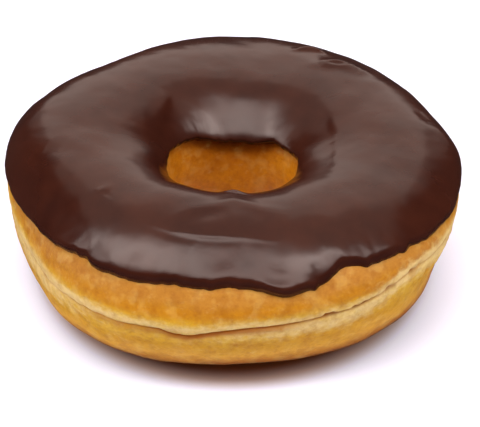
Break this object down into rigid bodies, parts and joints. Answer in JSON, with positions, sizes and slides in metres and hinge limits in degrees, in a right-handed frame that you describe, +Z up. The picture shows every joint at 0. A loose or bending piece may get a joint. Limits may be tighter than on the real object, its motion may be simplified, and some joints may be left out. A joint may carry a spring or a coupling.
{
  "type": "ring doughnut",
  "caption": "Yeast-raised ring doughnut with a golden fried crust, a pale crease round its side and glossy chocolate icing over the top.",
  "frame": {"origin": "on the surface the doughnut rests on, under the middle of its box, in the middle of the hole", "axes": "+Z up along the hole's axis, out of the iced top; -Y towards the side whose icing has the long drip"},
  "size_m": [0.0966, 0.0938, 0.0351],
  "materials": {
    "fried_dough": "satin",
    "chocolate_icing": "gloss"
  },
  "bodies": {
    "root": {"dough_ring": "fried_dough", "chocolate_icing": "chocolate_icing"}
  },
  "joints": []
}
